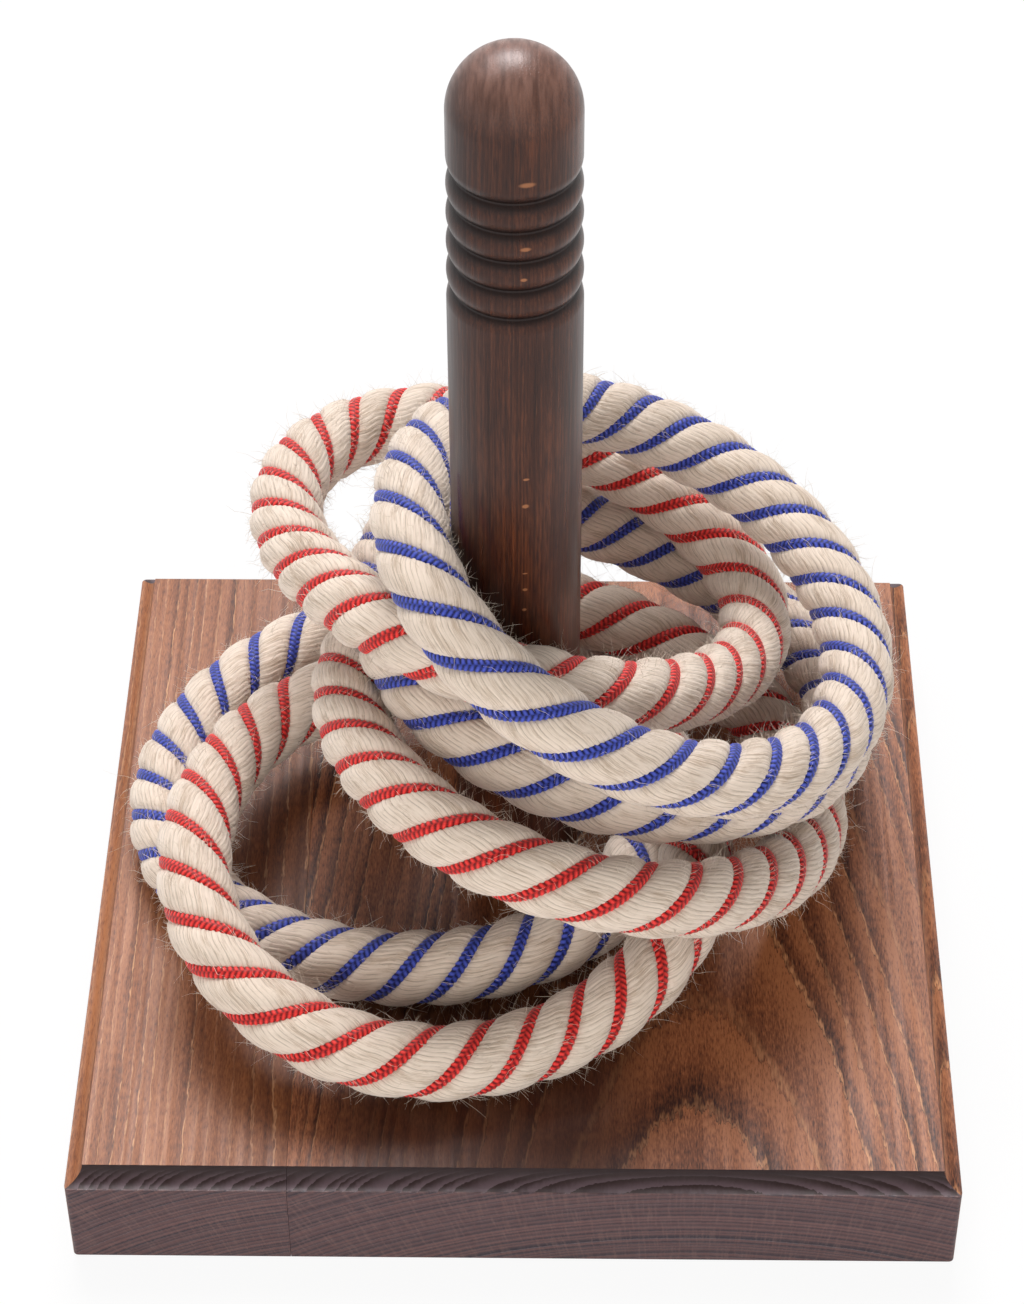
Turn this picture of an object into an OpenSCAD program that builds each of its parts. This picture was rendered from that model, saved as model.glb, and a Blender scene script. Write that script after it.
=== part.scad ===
// Ring toss set: six rope quoits lie round a turned post that stands on a square base.
// Millimetres, +Z up, with the origin at the middle of the base's underside.
// Seen from the front (-Y), +X is to the right.

/* [Base] */
// Width and depth of the square base, over its lip
base_w = 250; // [200:1:320]
// Thickness of the base
base_t = 35; // [30:1:50]
// Radius of the cove worked round the top edge
cove_r = 5; // [2:0.5:8]
// Width of the narrow board, at the left of the glue line
narrow_w = 62; // [40:1:90]
// Rounding of the four upright corners
corner_r = 1.5; // [0.5:0.1:4]
// Thickness of the glue line between the two boards
glue_line = 0.1; // [0.05:0.05:0.3]

/* [Post] */
// Diameter of the plain stem
post_d = 36; // [30:0.5:44]
// Height of the post's crown above the base's top
post_h = 289; // [220:1:360]
// How much slimmer than the stem the domed head is, on the diameter
head_slim = 0.9; // [0:0.1:3]
// Drop from the crown to the highest groove
groove_drop = 35; // [28:0.5:60]
// Number of turned grooves, with a bead between each two
groove_n = 5; // [2:1:9]
// Distance from one groove to the next
groove_pitch = 9.1; // [6:0.1:14]
// Depth of the grooves
groove_depth = 1.7; // [0.6:0.1:2.5]

/* [Fixing] */
// Diameter of the round tenon under the post
tenon_d = 24; // [16:0.5:28]
// Length of the tenon
tenon_l = 22; // [14:0.5:24]
// Diameter of the wood screw that holds the post from below
screw_d = 5; // [4:0.5:8]
// Length of the screw
screw_l = 60; // [45:1:90]
// Diameter of the screw's countersunk head
screw_head_d = 9.6; // [8:0.1:13]

/* [Quoits] */
// Diameter of a quoit along the middle of its rope
ring_d = 147; // [130:1:180]
// Diameter of the rope, over its strands
rope_d = 22; // [16:0.5:26]
// Diameter of the coloured cord that lies in the rope's grooves
cord_d = 3.6; // [2.5:0.1:4.5]
// Whole turns of the lay in one quoit; a third of a turn more joins its three strands into one
lay_turns = 9; // [6:1:12]

/* [How the quoits lie, counted from the lowest] */
// Quoit 1, middle from the post's axis: to the right, to the back
lie_1 = [-32, 15]; // [-50:1:50]
// Quoit 1, oval: long side over short side, and the turn of that side
oval_1 = [1.01, 30]; // [-90:0.01:90]
// Quoit 1, rise in degrees: to the right, to the back
lean_1 = [0, 0]; // [-35:0.5:35]
// Quoit 1, bend: saddle height along and across, and share of three-cornered pull along and across
bend_1 = [0, 0, -0.02, 0.01]; // [-12:0.01:12]
// Quoit 1, lay: its turn where it starts, and its unevenness along and across, in degrees
lay_1 = [90, -40, 80]; // [-120:5:120]
// Quoit 2, middle from the post's axis: to the right, to the back
lie_2 = [-23, -23]; // [-50:1:50]
// Quoit 2, oval
oval_2 = [1.01, 5]; // [-90:0.01:90]
// Quoit 2, rise in degrees
lean_2 = [-1.5, 4]; // [-35:0.5:35]
// Quoit 2, bend
bend_2 = [7, 3.5, 0.03, -0.03]; // [-12:0.01:12]
// Quoit 2, lay
lay_2 = [30, 0, -30]; // [-120:5:120]
// Quoit 3, middle from the post's axis: to the right, to the back
lie_3 = [19, -1]; // [-50:1:50]
// Quoit 3, oval
oval_3 = [0.95, -5]; // [-90:0.01:90]
// Quoit 3, rise in degrees
lean_3 = [-20.5, -12]; // [-35:0.5:35]
// Quoit 3, bend
bend_3 = [-4.5, -1, 0, 0.03]; // [-12:0.01:12]
// Quoit 3, lay
lay_3 = [55, 0, 20]; // [-120:5:120]
// Quoit 4, middle from the post's axis: to the right, to the back
lie_4 = [34, 36]; // [-50:1:50]
// Quoit 4, oval
oval_4 = [0.95, -5]; // [-90:0.01:90]
// Quoit 4, rise in degrees
lean_4 = [-21, -11]; // [-35:0.5:35]
// Quoit 4, bend
bend_4 = [2, -2, 0.01, 0]; // [-12:0.01:12]
// Quoit 4, lay
lay_4 = [50, 0, 60]; // [-120:5:120]
// Quoit 5, middle from the post's axis: to the right, to the back
lie_5 = [2, 46]; // [-50:1:50]
// Quoit 5, oval
oval_5 = [1.01, 20]; // [-90:0.01:90]
// Quoit 5, rise in degrees
lean_5 = [-19, -10.5]; // [-35:0.5:35]
// Quoit 5, bend
bend_5 = [-7, 6.5, 0.06, 0.04]; // [-12:0.01:12]
// Quoit 5, lay
lay_5 = [55, 80, 30]; // [-120:5:120]
// Quoit 6, middle from the post's axis: to the right, to the back
lie_6 = [36, 18]; // [-50:1:50]
// Quoit 6, oval
oval_6 = [0.86, -15]; // [-90:0.01:90]
// Quoit 6, rise in degrees
lean_6 = [-28, -1]; // [-35:0.5:35]
// Quoit 6, bend
bend_6 = [0.5, 3, 0.02, 0]; // [-12:0.01:12]
// Quoit 6, lay
lay_6 = [75, 30, -40]; // [-120:5:120]

/* [Hidden] */
$fn = 96;
// Room left between a rope and the wood
rest_gap = 0.2;
// How far the strands of two ropes bed into one another where they cross
bedding = 0.4;
// Glue room round the tenon, on the diameter
glue_room = 0.2;
// Room between the coloured cord and the bottom of its groove
seat_gap = 0.3;
// Room under the tenon in its socket
socket_room = 1;
// Room round the screw in the base, on the diameter
screw_room = 0.4;
// Room round the screw in the post, on the diameter
pilot_room = 0.1;
// How deep the screw's head is sunk under the base
screw_sunk = 0.4;
// Length of the screw's tip
tip_l = 8;
// Cross recess in the screw's head: width, slot and depth
recess = [5.2, 1.1, 1.6];
// Bevel round the end of the tenon
tenon_bevel = 1;
// Room past a cut
cut = 1;

wood = [0.33, 0.18, 0.11];
jute = [0.82, 0.74, 0.61];
red = [0.73, 0.14, 0.12];
blue = [0.17, 0.20, 0.50];
steel = [0.72, 0.72, 0.70];

joint_x = narrow_w - base_w / 2;
post_r = post_d / 2;
head_r = post_r - head_slim / 2;
tenon_r = tenon_d / 2;
socket_d = tenon_d + glue_room;
socket_l = tenon_l + socket_room;
screw_cone = (screw_head_d - screw_d) / 2 + screw_sunk;
screw_hole_d = screw_d + screw_room;
screw_seat_d = screw_head_d + screw_room;

// Bead profile: an arc one pitch long that falls by the groove's depth at each end
bead_half = groove_pitch / 2;
bead_arc = (pow(bead_half, 2) + pow(groove_depth, 2)) / (2 * groove_depth);
top_groove = post_h - groove_drop;
low_groove = top_groove - (groove_n - 1) * groove_pitch;
dome_z = post_h - head_r;

// Rope: three lobes, with the coloured cord in the three valleys between them
rope_r = rope_d / 2;
crest_r = rope_r - 0.1;
shoulder_r = 0.9 * rope_r;
valley_r = 0.53 * rope_r;
LOBES = 3;
section = [for (l = [0:LOBES - 1]) each [
    [l * 120, valley_r],
    [l * 120 + 30, shoulder_r],
    [l * 120 + 60, crest_r],
    [l * 120 + 90, shoulder_r],
]];
SIDES = len(section);
STATIONS = 72;
// The cord runs across the rope at a slant, so it looks wider in a section square to the rope
lay_slant = atan(2 * PI * 0.75 * rope_r * (lay_turns + 1 / 3) / (PI * ring_d));
cord_in = valley_r + seat_gap;
cord_out = cord_in + 1.15 * cord_d;
cord_half = 0.62 * cord_d / cos(lay_slant);
cord_section = [
    [0, cord_in],
    [-atan(cord_half / cord_out), norm([cord_half, cord_out])],
    [atan(cord_half / cord_out), norm([cord_half, cord_out])],
];

// Quoits in the order they lie, lowest first
lies = [lie_1, lie_2, lie_3, lie_4, lie_5, lie_6];
ovals = [oval_1, oval_2, oval_3, oval_4, oval_5, oval_6];
leans = [lean_1, lean_2, lean_3, lean_4, lean_5, lean_6];
bends = [bend_1, bend_2, bend_3, bend_4, bend_5, bend_6];
lays = [lay_1, lay_2, lay_3, lay_4, lay_5, lay_6];
SAMPLES = 120;
SAMPLE_STEP = 360 / SAMPLES;

// A quoit's middle line about its own middle, at the angle t, for a given size
function lie_point(q, size, t) =
    let (
        pull = 1 + bends[q][2] * cos(3 * t) + bends[q][3] * sin(3 * t),
        along = size * sqrt(ovals[q][0]) * cos(t) * pull,
        across = size / sqrt(ovals[q][0]) * sin(t) * pull,
        x = along * cos(ovals[q][1]) - across * sin(ovals[q][1]),
        y = along * sin(ovals[q][1]) + across * cos(ovals[q][1]),
        saddle = bends[q][0] * cos(2 * t) + bends[q][1] * sin(2 * t)
    )
    [x, y, x * tan(leans[q][0]) + y * tan(leans[q][1]) + saddle];

function loop_points(q, size) = [for (i = [0:SAMPLES - 1]) lie_point(q, size, i * SAMPLE_STEP)];

function steps_of(p) = [for (i = [0:len(p) - 1]) norm(p[(i + 1) % len(p)] - p[i])];

function total(v, i = 0, acc = 0) = i >= len(v) ? acc : total(v, i + 1, acc + v[i]);

// Every quoit is made of the same length of rope, however it lies
function lie_size(q, size, tries = 8) =
    tries == 0 ? size
    : lie_size(q, size * PI * ring_d / total(steps_of(loop_points(q, size))), tries - 1);

// A quoit that would cut into the post is pushed off it, along the nearest point
function off_post(p) =
    let (
        reach = [for (v = p) norm([v[0], v[1]])],
        near = min(reach),
        at = p[search(near, reach)[0]],
        need = post_r + rope_r + rest_gap
    )
    near >= need ? [0, 0, 0] : [at[0], at[1], 0] * (need - near) / near;

// How far a rope at v must be raised to clear the rope at u
function raise_over(v, u, room) =
    let (apart = norm([v[0] - u[0], v[1] - u[1]]))
    apart >= room ? -1000 : u[2] + sqrt(room * room - apart * apart) - v[2];

function raise_all(p, under) =
    let (
        room = rope_d - bedding,
        floor_lift = base_t + rope_r + rest_gap - min([for (v = p) v[2]]),
        lifts = [for (o = under) for (v = p) for (u = o) if (abs(v[0] - u[0]) < room) raise_over(v, u, room)]
    )
    max(concat([floor_lift], lifts));

// Each quoit drops onto the base and onto those below it: its size and the place of its middle
function settle(q) = q < 0 ? [] :
    let (
        below = settle(q - 1),
        size = lie_size(q, ring_d / 2),
        start = [lies[q][0], lies[q][1], 0],
        p = [for (v = loop_points(q, size)) v + start],
        push = off_post(p),
        lift = raise_all([for (v = p) v + push], [for (b = below) b[2]]),
        mid = start + push + [0, 0, lift]
    )
    concat(below, [[size, mid, [for (v = loop_points(q, size)) v + mid]]]);

function unit(v) = v / norm(v);

// Places along a quoit, evenly spaced along its rope, with the directions across the rope
function frame_at(q, size, mid, t) =
    let (
        here = lie_point(q, size, t),
        ahead = unit(lie_point(q, size, t + 1) - lie_point(q, size, t - 1)),
        out = unit(here - ahead * (here * ahead))
    )
    [here + mid, out, cross(ahead, out)];

function running(v, i = 0, acc = 0) = i > len(v) ? [] : concat([acc], running(v, i + 1, acc + (i < len(v) ? v[i] : 0)));

function frames(q, size, mid) =
    let (
        gone = running(steps_of(loop_points(q, size))),
        table = [for (i = [0:SAMPLES]) [gone[i], i * SAMPLE_STEP]],
        whole = gone[SAMPLES]
    )
    [for (k = [0:STATIONS - 1]) frame_at(q, size, mid, lookup(k * whole / STATIONS, table))];

// The lay is left-handed, and a hand-laid quoit's lay is tighter on one side than on the other
function lay_angle(q, i) =
    let (round = 360 * i / STATIONS)
    lays[q][0] + lays[q][1] * cos(round) + lays[q][2] * sin(round) - (lay_turns + 1 / 3) * round;

function at_station(f, a, r) = f[0] + r * (cos(a) * f[1] + sin(a) * f[2]);

function two_faces(a, b, c, d, other) = other ? [[a, b, d], [b, c, d]] : [[a, b, c], [a, c, d]];

// Three-strand rope as one closed skin; after one round each strand runs on into the next
module rope_skin(q) {
    s = settle(q)[q];
    f = frames(q, s[0], s[1]);
    points = [for (k = [0:STATIONS - 1]) for (c = section) at_station(f[k], c[0] + lay_angle(q, k), c[1])];
    back = SIDES / LOBES;
    faces = [for (k = [0:STATIONS - 1]) for (j = [0:SIDES - 1])
        let (
            j2 = (j + 1) % SIDES,
            wrap = k == STATIONS - 1,
            k2 = wrap ? 0 : k + 1,
            m = wrap ? (j + SIDES - back) % SIDES : j,
            m2 = wrap ? (j2 + SIDES - back) % SIDES : j2
        )
        each two_faces(k * SIDES + j, k2 * SIDES + m, k2 * SIDES + m2, k * SIDES + j2, j % 4 == 3)
    ];
    polyhedron(points = points, faces = faces, convexity = 8);
}

// One unbroken cord that fills all three grooves in three rounds
module cord_skin(q) {
    s = settle(q)[q];
    f = frames(q, s[0], s[1]);
    n = LOBES * STATIONS;
    m = len(cord_section);
    points = [for (i = [0:n - 1]) for (c = cord_section)
        at_station(f[i % STATIONS], c[0] + lay_angle(q, i), c[1])];
    faces = [for (i = [0:n - 1]) for (j = [0:m - 1])
        let (j2 = (j + 1) % m, i2 = (i + 1) % n)
        each two_faces(i * m + j, i2 * m + j, i2 * m + j2, i * m + j2, j == 2)
    ];
    middle = [for (i = [0:n - 1]) (points[i * m] + points[i * m + 1] + points[i * m + 2]) / 3];
    apart = min([for (i = [0:n - 1]) for (j = [i + 6:1:n - 1]) if (i + n - j >= 6) norm(middle[i] - middle[j])]);
    echo(str("quoit ", q + 1, ": its cord's turns stand ", apart - 2 * cord_half, " mm apart or more"));
    polyhedron(points = points, faces = faces, convexity = 8);
}

function bead_fall(dz) = bead_arc - sqrt(max(0, pow(bead_arc, 2) - pow(dz, 2)));

// Radius of the crown of bead b, counted from the bottom, between the stem's and the head's
function bead_r(b) = post_r + (head_r - post_r) * (b + 1) / groove_n;

// Half section of the post, from the tenon's end to the crown, above the base's top
BEAD_STEPS = 8;
post_outline = concat(
    [[0, -tenon_l], [tenon_r - tenon_bevel, -tenon_l], [tenon_r, tenon_bevel - tenon_l]],
    [[tenon_r, 0], [post_r, 0]],
    [for (i = [0:BEAD_STEPS]) let (dz = bead_half * i / BEAD_STEPS)
        [post_r - bead_fall(dz), low_groove - bead_half + dz]],
    [for (b = [0:groove_n - 2]) for (i = [1:2 * BEAD_STEPS - 1])
        let (dz = bead_half * (i / BEAD_STEPS - 1))
        [bead_r(b) - bead_fall(dz), low_groove + (b + 0.5) * groove_pitch + dz]],
    [for (i = [BEAD_STEPS:-1:0]) let (dz = bead_half * i / BEAD_STEPS)
        [head_r - bead_fall(dz), top_groove + bead_half - dz]],
    [for (a = [0:6:90]) [head_r * cos(a), dome_z + head_r * sin(a)]]
);

// Square with rounded corners, as wide as the base
module base_blank() {
    half = base_w / 2;
    inner = half - corner_r;
    difference() {
        union() {
            translate([-half, -inner, 0]) cube([base_w, 2 * inner, base_t]);
            translate([-inner, -half, 0]) cube([2 * inner, base_w, base_t]);
            for (x = [-inner, inner]) for (y = [-inner, inner])
                translate([x, y, 0]) cylinder(r = corner_r, h = base_t);
        }
        for (side = [-half, half]) {
            translate([side, 0, base_t]) rotate([90, 0, 0])
                cylinder(r = cove_r, h = base_w + 2 * cut, center = true);
            translate([0, side, base_t]) rotate([0, 90, 0])
                cylinder(r = cove_r, h = base_w + 2 * cut, center = true);
        }
    }
}

module base_board_wide() color(wood) {
    difference() {
        base_blank();
        translate([-base_w, -base_w, -cut])
            cube([base_w + joint_x + glue_line / 2, 2 * base_w, base_t + 2 * cut]);
        translate([0, 0, base_t - socket_l]) cylinder(d = socket_d, h = socket_l + cut);
        translate([0, 0, -cut]) cylinder(d = screw_hole_d, h = base_t);
        translate([0, 0, -cut]) cylinder(d = screw_seat_d, h = cut + screw_sunk);
        translate([0, 0, screw_sunk]) cylinder(d1 = screw_seat_d, d2 = screw_hole_d, h = screw_cone);
    }
}

module base_board_narrow() color(wood) {
    difference() {
        base_blank();
        translate([joint_x - glue_line / 2, -base_w, -cut])
            cube([2 * base_w, 2 * base_w, base_t + 2 * cut]);
    }
}

module post() color(wood) {
    difference() {
        translate([0, 0, base_t]) rotate_extrude() polygon(post_outline);
        translate([0, 0, base_t - tenon_l - cut])
            cylinder(d = screw_d + pilot_room, h = screw_l - base_t + tenon_l + 2 * cut);
    }
}

module post_screw() color(steel) {
    difference() {
        translate([0, 0, screw_sunk]) {
            cylinder(d1 = screw_head_d, d2 = screw_d, h = screw_cone);
            cylinder(d = screw_d, h = screw_l - tip_l);
            translate([0, 0, screw_l - tip_l]) cylinder(d1 = screw_d, d2 = screw_d / 8, h = tip_l);
        }
        for (a = [0, 90]) rotate(a) translate([-recess[0] / 2, -recess[1] / 2, -cut])
            cube([recess[0], recess[1], cut + screw_sunk + recess[2]]);
    }
}

module quoit_1_rope() color(jute) rope_skin(0);
module quoit_2_rope() color(jute) rope_skin(1);
module quoit_3_rope() color(jute) rope_skin(2);
module quoit_4_rope() color(jute) rope_skin(3);
module quoit_5_rope() color(jute) rope_skin(4);
module quoit_6_rope() color(jute) rope_skin(5);
module quoit_1_cord() color(blue) cord_skin(0);
module quoit_2_cord() color(red) cord_skin(1);
module quoit_3_cord() color(red) cord_skin(2);
module quoit_4_cord() color(blue) cord_skin(3);
module quoit_5_cord() color(red) cord_skin(4);
module quoit_6_cord() color(blue) cord_skin(5);

base_board_wide();
base_board_narrow();
post();
post_screw();
quoit_1_rope();
quoit_1_cord();
quoit_2_rope();
quoit_2_cord();
quoit_3_rope();
quoit_3_cord();
quoit_4_rope();
quoit_4_cord();
quoit_5_rope();
quoit_5_cord();
quoit_6_rope();
quoit_6_cord();
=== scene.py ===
"""Looks of the ring toss set: stained beech base and post, and six jute quoits with coloured cord.

Metres, +Z up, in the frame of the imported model. Seen from the front (-Y), +X is to the right.
"""

import math

import bpy
import numpy as np
from mathutils import Matrix


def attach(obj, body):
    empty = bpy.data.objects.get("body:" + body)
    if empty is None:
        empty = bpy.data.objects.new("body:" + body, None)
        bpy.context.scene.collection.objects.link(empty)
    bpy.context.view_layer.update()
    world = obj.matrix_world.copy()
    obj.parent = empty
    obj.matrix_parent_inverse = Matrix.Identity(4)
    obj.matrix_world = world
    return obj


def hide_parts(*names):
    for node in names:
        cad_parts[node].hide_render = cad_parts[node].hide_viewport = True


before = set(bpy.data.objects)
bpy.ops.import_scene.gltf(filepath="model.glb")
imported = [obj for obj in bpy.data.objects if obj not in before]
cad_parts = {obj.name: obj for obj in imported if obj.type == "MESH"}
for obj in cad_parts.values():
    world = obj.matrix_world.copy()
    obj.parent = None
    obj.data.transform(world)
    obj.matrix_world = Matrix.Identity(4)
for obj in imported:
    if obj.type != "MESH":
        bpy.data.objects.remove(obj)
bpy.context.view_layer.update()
MM = 0.001

# Sizes that the solids are built from
BASE_HALF = 125 * MM
BASE_T = 35 * MM
COVE_R = 5 * MM
POST_R = 18 * MM
POST_H = 289 * MM
HEAD_R = 17.55 * MM
GROOVE_DROP = 35 * MM
GROOVE_N = 5
GROOVE_PITCH = 9.1 * MM
GROOVE_DEPTH = 1.7 * MM
RING_D = 147 * MM
ROPE_R = 11 * MM
LAY_TURNS = 9 + 1 / 3
STRANDS = 3
REST_GAP = 0.2 * MM
BEDDING = 0.4 * MM
SAMPLES = 120

# How each quoit lies, lowest first: place of its middle (mm), oval and its turn, rise to the right and
# to the back (degrees), saddle along and across (mm) and share of three-cornered pull, and its lay's turn
# at the start and unevenness along and across (degrees)
QUOITS = [
    {
        "cord": "blue", "lie": (-32, 15), "oval": (1.01, 30), "lean": (0, 0),
        "bend": (0, 0, -0.02, 0.01), "lay": (90, -40, 80),
    },
    {
        "cord": "red", "lie": (-23, -23), "oval": (1.01, 5), "lean": (-1.5, 4),
        "bend": (7, 3.5, 0.03, -0.03), "lay": (30, 0, -30),
    },
    {
        "cord": "red", "lie": (19, -1), "oval": (0.95, -5), "lean": (-20.5, -12),
        "bend": (-4.5, -1, 0, 0.03), "lay": (55, 0, 20),
    },
    {
        "cord": "blue", "lie": (34, 36), "oval": (0.95, -5), "lean": (-21, -11),
        "bend": (2, -2, 0.01, 0), "lay": (50, 0, 60),
    },
    {
        "cord": "red", "lie": (2, 46), "oval": (1.01, 20), "lean": (-19, -10.5),
        "bend": (-7, 6.5, 0.06, 0.04), "lay": (55, 80, 30),
    },
    {
        "cord": "blue", "lie": (36, 18), "oval": (0.86, -15), "lean": (-28, -1),
        "bend": (0.5, 3, 0.02, 0), "lay": (75, 30, -40),
    },
]


# Shader helpers


def add(tree, kind, inputs=None, **settings):
    """A new shader node, with its settings, and its inputs as values or as the sockets that feed them."""
    made = tree.nodes.new(kind)
    for name, value in settings.items():
        setattr(made, name, value)
    for key, value in (inputs or {}).items():
        if isinstance(value, bpy.types.NodeSocket):
            tree.links.new(value, made.inputs[key])
        else:
            made.inputs[key].default_value = value
    return made


def maths(tree, operation, a, b=0.0):
    return add(tree, "ShaderNodeMath", {0: a, 1: b}, operation=operation).outputs[0]


def remap(tree, value, low, high, to_low=0.0, to_high=1.0):
    """Takes value from the range low to high onto another range, with soft ends."""
    inputs = {"Value": value, "From Min": low, "From Max": high, "To Min": to_low, "To Max": to_high}
    return add(tree, "ShaderNodeMapRange", inputs, interpolation_type="SMOOTHSTEP").outputs[0]


def product(tree, *factors):
    made = factors[0]
    for factor in factors[1:]:
        made = maths(tree, "MULTIPLY", made, factor)
    return made


def split(tree, place):
    """The parts of a place along x, y and z."""
    return add(tree, "ShaderNodeSeparateXYZ", {0: place}).outputs


def length(tree, place):
    return add(tree, "ShaderNodeVectorMath", {0: place}, operation="LENGTH").outputs["Value"]


def vector(tree, operation, a, b):
    return add(tree, "ShaderNodeVectorMath", {0: a, 1: b}, operation=operation).outputs[0]


def mix(tree, factor, a, b):
    """Colour a where factor is 0, and colour b where it is 1."""
    return add(tree, "ShaderNodeMix", {0: factor, 6: a, 7: b}, data_type="RGBA").outputs[2]


def rgba(color):
    return (*color, 1.0)


def toned(color, share):
    return tuple(share * c for c in color)


def ramp(tree, factor, stops):
    made = add(tree, "ShaderNodeValToRGB", {0: factor})
    elements = made.color_ramp.elements
    while len(elements) < len(stops):
        elements.new(0.5)
    for element, (place, color) in zip(elements, stops):
        element.position = place
        element.color = rgba(color)
    return made.outputs[0]


def noise(tree, place, stretch, detail=2.0, roughness=0.5):
    """Noise in a space that is stretched by a factor along each axis."""
    scaled = vector(tree, "MULTIPLY", place, stretch)
    inputs = {"Vector": scaled, "Scale": 1.0, "Detail": detail, "Roughness": roughness}
    return add(tree, "ShaderNodeTexNoise", inputs)


def new_material(name):
    material = bpy.data.materials.new(name)
    material.use_nodes = True
    tree = material.node_tree
    return material, tree, tree.nodes["Principled BSDF"]


# Wood

# Unevenness of the year rings: its changes per millimetre outwards, and its size in years
RING_DRIFT = 0.11
RING_UNEVEN = 3.0


def year_rings(tree, place, pith, tilt, pitch, along):
    """Count of year rings out from the pith, and the distance from the pith on two axes and in all."""
    lengthwise, first, second = {"Y": (1, 0, 2), "Z": (2, 0, 1)}[along]
    parts = split(tree, place)
    sides = []
    for side, middle, drift in zip((first, second), pith, tilt):
        off = maths(tree, "SUBTRACT", parts[side], middle)
        sides.append(maths(tree, "SUBTRACT", off, product(tree, parts[lengthwise], drift)))
    squares = [maths(tree, "POWER", maths(tree, "ABSOLUTE", side), 2.0) for side in sides]
    reach = maths(tree, "SQRT", maths(tree, "ADD", *squares))
    wander = noise(tree, reach, (RING_DRIFT, RING_DRIFT, RING_DRIFT), 1.0).outputs["Fac"]
    uneven = product(tree, wander, RING_UNEVEN)
    count = maths(tree, "ADD", maths(tree, "DIVIDE", reach, pitch), uneven)
    return count, sides, reach


def ring_parts(tree, count):
    """How far a place is through its year, and how much late wood and pale early line it has."""
    ring = maths(tree, "FRACT", count)
    year = add(tree, "ShaderNodeTexWhiteNoise", {"W": maths(tree, "FLOOR", count)}, noise_dimensions="1D")
    year = year.outputs["Value"]
    late = product(tree, remap(tree, ring, 0.12, 0.9, 1.0, 0.0), remap(tree, year, 0.0, 1.0, 0.4, 1.0))
    early = product(tree, remap(tree, ring, 0.0, 0.05), remap(tree, ring, 0.07, 0.15, 1.0, 0.0))
    early = product(tree, early, remap(tree, year, 0.0, 0.8, 0.4, 1.0))
    return ring, late, early


# How fast each kind of figure changes along x, y and z, per millimetre, in wood that runs along Y or Z
FIGURE = {
    "Y": {
        "sway": (0.011, 0.006, 0.011), "jag": (0.9, 0.15, 0.9), "fibre": (2.4, 0.40, 2.4),
        "streak": (0.40, 0.012, 0.40), "blotch": (0.035, 0.012, 0.035),
    },
    "Z": {
        "sway": (0.02, 0.02, 0.008), "jag": (1.1, 1.1, 0.08), "fibre": (2.2, 2.2, 0.16),
        "streak": (0.60, 0.14, 0.012), "blotch": (0.06, 0.06, 0.014),
    },
}
# How far the sway and the jag shift the year rings along x, y and z (mm)
SHIFTS = {"sway": (4, 4, 2.2), "jag": (1.0, 1.0, 0.65)}
# Tones at which the stain is light, middling and dark
STAIN_STOPS = (0.0, 0.42, 0.9)
# Middling strength of late wood, which gets the middling stain
LATE_MEAN = 0.4
WOOD_SPECULAR = 0.36
# Roughness along pale and dark streaks
BOARD_ROUGHNESS = (0.42, 0.54)
POST_ROUGHNESS = (0.27, 0.38)
# Pale streaks on the post's dome, partly worn stain and partly a painted highlight
CROWN_WEAR_AND_HIGHLIGHT = (0.27, 0.155, 0.125)
FLECK_STAIN = (0.42, 0.17, 0.07)


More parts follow.
